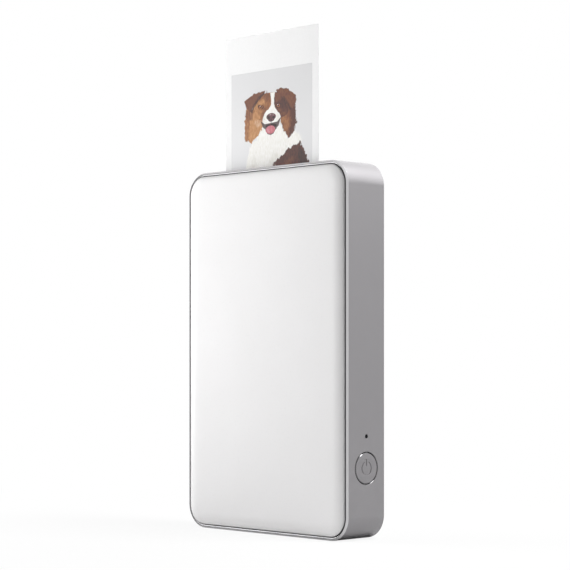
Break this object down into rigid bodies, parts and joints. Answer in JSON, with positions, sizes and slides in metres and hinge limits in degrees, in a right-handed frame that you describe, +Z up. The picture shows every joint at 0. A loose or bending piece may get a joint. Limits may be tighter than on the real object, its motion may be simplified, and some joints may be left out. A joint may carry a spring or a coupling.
{
  "type": "compact photo printer",
  "caption": "Pocket photo printer standing on end: white hinged front cover, silver side band with a power button, and a print leaving the top slot.",
  "frame": {"origin": "middle of the base, on the surface that the printer stands on", "axes": "+Z up along the printer's height, front cover faces -Y, power button on the +X side"},
  "size_m": [0.0854, 0.0216, 0.1867],
  "materials": {
    "cover_white": "smooth white moulding, satin gloss",
    "band_silver": "bead-blasted satin anodised",
    "button_silver": "satin anodised",
    "black_plastic": "fine matt moulding",
    "liner_grey": "fine matt moulding",
    "bright_steel": "ground or drawn steel",
    "sheet_steel": "zinc-coated sheet steel",
    "dark_steel": "black-coated sheet steel",
    "nickel": "nickel plate",
    "brass": "turned brass",
    "roller_rubber": "ground rubber",
    "pad_rubber": "cork rubber",
    "gear_plastic": "natural acetal",
    "sink_aluminium": "extruded, plain",
    "head_ceramic": "alumina strip with a glazed heater line",
    "paper": "glossy photo paper",
    "board_green": "solder mask",
    "chip_black": "moulded package",
    "connector_ivory": "nylon",
    "light_guide": "smoked clear plastic",
    "lead_red": "wire insulation",
    "cable_amber": "polyimide film",
    "cell_foil": "laminated foil pouch",
    "led_lens": "clear moulded"
  },
  "bodies": {
    "case": {"side_band": "band_silver", "back_cover": "cover_white", "hinge_pins": "bright_steel", "frame_magnets": "nickel", "chassis": "black_plastic", "paper_stack": "paper", "separation_pad": "pad_rubber", "exit_guide": "black_plastic", "engine_frame": "sheet_steel", "engine_cover": "dark_steel", "engine_cover_screws": "bright_steel", "engine_screws": "bright_steel", "bushings": "brass", "gear_studs": "bright_steel", "stud_clips": "brass", "paper_guide": "black_plastic", "head_pin": "bright_steel", "head_springs": "bright_steel", "head_cable": "cable_amber", "motor": "nickel", "motor_leads": "lead_red", "light_pipe": "light_guide", "side_board": "board_green", "button_switch": "nickel", "status_led": "led_lens", "battery": "cell_foil", "battery_lead": "lead_red", "main_board": "board_green", "board_chips": "chip_black", "shield_can": "nickel", "board_connectors": "connector_ivory", "usb_socket": "nickel", "reset_switch": "chip_black", "board_screws": "bright_steel"},
    "print": {"print_sheet": "paper"},
    "cover": {"front_cover": "cover_white", "cover_liner": "liner_grey", "cover_magnets": "nickel", "press_plate": "sheet_steel"},
    "button": {"power_button": "button_silver"},
    "head": {"head_heatsink": "sink_aluminium", "head_ceramic": "head_ceramic"},
    "platen": {"platen_roller": "roller_rubber", "platen_shaft": "bright_steel", "platen_gear": "gear_plastic"},
    "pick": {"pick_roller": "roller_rubber", "pick_shaft": "bright_steel", "pick_gear": "gear_plastic"},
    "upper_idler_body": {"upper_idler": "gear_plastic"},
    "lower_idler_body": {"lower_idler": "gear_plastic"},
    "rotor": {"motor_shaft": "bright_steel", "motor_pinion": "brass"}
  },
  "joints": [
    {"name": "cover_hinge", "type": "hinge", "parent": "case", "child": "cover", "pos_m": [0, -0.0085, 0.009], "axis": [1, 0, 0], "range_deg": [0, 90]},
    {"name": "power_button", "type": "slide", "parent": "case", "child": "button", "axis": [-1, 0, 0], "range_m": [0, 0.0004], "stiffness_N_per_m": 600, "springref_m": -0.0008},
    {"name": "head_pivot", "type": "hinge", "parent": "case", "child": "head", "pos_m": [0, -0.0065, 0.111], "axis": [1, 0, 0], "range_deg": [0, 1.5], "stiffness_Nm_per_rad": 0.3, "springref_deg": -2.86},
    {"name": "print_slide", "type": "slide", "parent": "case", "child": "print", "axis": [0, 0, 1], "range_m": [-0.062, 0.011]},
    {"name": "platen_spin", "type": "hinge", "parent": "case", "child": "platen", "pos_m": [0, -0.00045, 0.122], "axis": [1, 0, 0], "range_deg": [-163, 893]},
    {"name": "pick_spin", "type": "hinge", "parent": "case", "child": "pick", "pos_m": [0, 0.0006, 0.08275], "axis": [1, 0, 0], "range_deg": [-131, 715]},
    {"name": "upper_idler_spin", "type": "hinge", "parent": "case", "child": "upper_idler_body", "pos_m": [-0.0335, 0, 0.11301], "axis": [1, 0, 0], "range_deg": [-1781, 320]},
    {"name": "lower_idler_spin", "type": "hinge", "parent": "case", "child": "lower_idler_body", "pos_m": [-0.0335, 0, 0.09324], "axis": [1, 0, 0], "range_deg": [-1781, 320]},
    {"name": "rotor_spin", "type": "hinge", "parent": "case", "child": "rotor", "pos_m": [-0.0335, 0.0015, 0.10312], "axis": [1, 0, 0], "range_deg": [-950, 5334]}
  ],
  "couplings": [
    {"joint": "platen_spin", "follows": "print_slide", "rad_per_m": -250},
    {"joint": "pick_spin", "follows": "print_slide", "rad_per_m": -200},
    {"joint": "upper_idler_spin", "follows": "print_slide", "rad_per_m": 500},
    {"joint": "lower_idler_spin", "follows": "print_slide", "rad_per_m": 500},
    {"joint": "rotor_spin", "follows": "print_slide", "rad_per_m": -1500}
  ]
}
